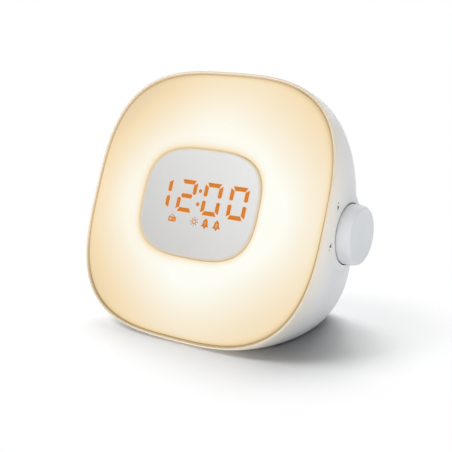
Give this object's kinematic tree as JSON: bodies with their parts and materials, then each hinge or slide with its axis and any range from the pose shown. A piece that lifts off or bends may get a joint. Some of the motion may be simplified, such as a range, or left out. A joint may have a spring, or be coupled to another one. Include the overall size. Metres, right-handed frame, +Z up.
{
  "type": "sunrise alarm clock",
  "caption": "Leaning rounded-square wake-up light with a glowing diffuser face, central LED display window, side control knob and rear panel with speaker and buttons.",
  "frame": {"origin": "on the surface that the clock stands on, at the middle of the rubber pad under it", "axes": "+Z up, the lit face looks towards -Y and leans back, the knob is on +X, which is the longest extent"},
  "size_m": [0.1951, 0.1171, 0.1724],
  "materials": {
    "housing_plastic": "fine satin",
    "diffuser_plastic": "opal, lit from inside",
    "window_plastic": "translucent satin",
    "knob_plastic": "satin",
    "button_plastic": "satin",
    "digit_light": "lit amber",
    "inner_white_plastic": "reflective white",
    "black_plastic": "moulded",
    "circuit_board": "solder mask",
    "lamp": "phosphor",
    "steel": "plated",
    "ferrite": "dull",
    "cone_paper": "pressed paper",
    "soft_rubber": "matte",
    "flat_cable": "ribbon"
  },
  "bodies": {
    "housing": {"rear_shell": "housing_plastic", "base_pad": "soft_rubber", "light_diffuser": "diffuser_plastic", "display_window": "window_plastic", "display_housing": "inner_white_plastic", "display_module": "inner_white_plastic", "display_segments": "digit_light", "display_icons": "digit_light", "display_board": "circuit_board", "reflector_tray": "inner_white_plastic", "tray_screws": "steel", "light_board": "inner_white_plastic", "light_lamps": "lamp", "light_board_screws": "steel", "main_board": "circuit_board", "main_board_screws": "steel", "control_chip": "black_plastic", "radio_tuner": "steel", "capacitors": "black_plastic", "display_cable": "flat_cable", "light_cable": "flat_cable", "encoder_body": "steel", "encoder_bush": "steel", "encoder_washer": "steel", "encoder_nut": "steel", "encoder_board": "circuit_board", "rear_panel": "housing_plastic", "panel_screws": "steel", "speaker_gasket": "soft_rubber", "speaker_frame": "steel", "speaker_magnet": "ferrite", "speaker_cone": "cone_paper", "speaker_screws": "steel", "button_board": "circuit_board", "button_board_screws": "steel", "button_switches": "black_plastic", "power_socket": "black_plastic", "power_pin": "steel", "cell_cover": "housing_plastic", "cell_cover_screw": "steel", "backup_cell": "steel", "cell_holder": "black_plastic", "cell_spring": "steel"},
    "knob_plunger": {"encoder_plunger": "black_plastic"},
    "knob_body": {"knob": "knob_plastic", "encoder_shaft": "steel"},
    "radio_key": {"button_radio": "button_plastic"},
    "light_key": {"button_light": "button_plastic"},
    "alarm_one_key": {"button_alarm_one": "button_plastic"},
    "alarm_two_key": {"button_alarm_two": "button_plastic"},
    "clock_key": {"button_clock": "button_plastic"},
    "sound_key": {"button_sound": "button_plastic"}
  },
  "joints": [
    {"name": "knob_press", "type": "slide", "parent": "housing", "child": "knob_plunger", "axis": [-1, 0, 0], "range_m": [0, 0.0005], "stiffness_N_per_m": 3000, "springref_m": -0.0005},
    {"name": "knob_turn", "type": "hinge", "parent": "knob_plunger", "child": "knob_body", "pos_m": [0.093, 0.00932, 0.07349], "axis": [1, 0, 0], "continuous": true},
    {"name": "radio_press", "type": "slide", "parent": "housing", "child": "radio_key", "axis": [0, -0.9992, 0.0401], "range_m": [0, 0.0005], "stiffness_N_per_m": 2000, "springref_m": -0.0005},
    {"name": "light_press", "type": "slide", "parent": "housing", "child": "light_key", "axis": [0, -0.9992, 0.0401], "range_m": [0, 0.0005], "stiffness_N_per_m": 2000, "springref_m": -0.0005},
    {"name": "alarm_one_press", "type": "slide", "parent": "housing", "child": "alarm_one_key", "axis": [0, -0.9992, 0.0401], "range_m": [0, 0.0005], "stiffness_N_per_m": 2000, "springref_m": -0.0005},
    {"name": "alarm_two_press", "type": "slide", "parent": "housing", "child": "alarm_two_key", "axis": [0, -0.9992, 0.0401], "range_m": [0, 0.0005], "stiffness_N_per_m": 2000, "springref_m": -0.0005},
    {"name": "clock_press", "type": "slide", "parent": "housing", "child": "clock_key", "axis": [0, -0.9992, 0.0401], "range_m": [0, 0.0005], "stiffness_N_per_m": 2000, "springref_m": -0.0005},
    {"name": "sound_press", "type": "slide", "parent": "housing", "child": "sound_key", "axis": [0, -0.9992, 0.0401], "range_m": [0, 0.0005], "stiffness_N_per_m": 2000, "springref_m": -0.0005}
  ]
}
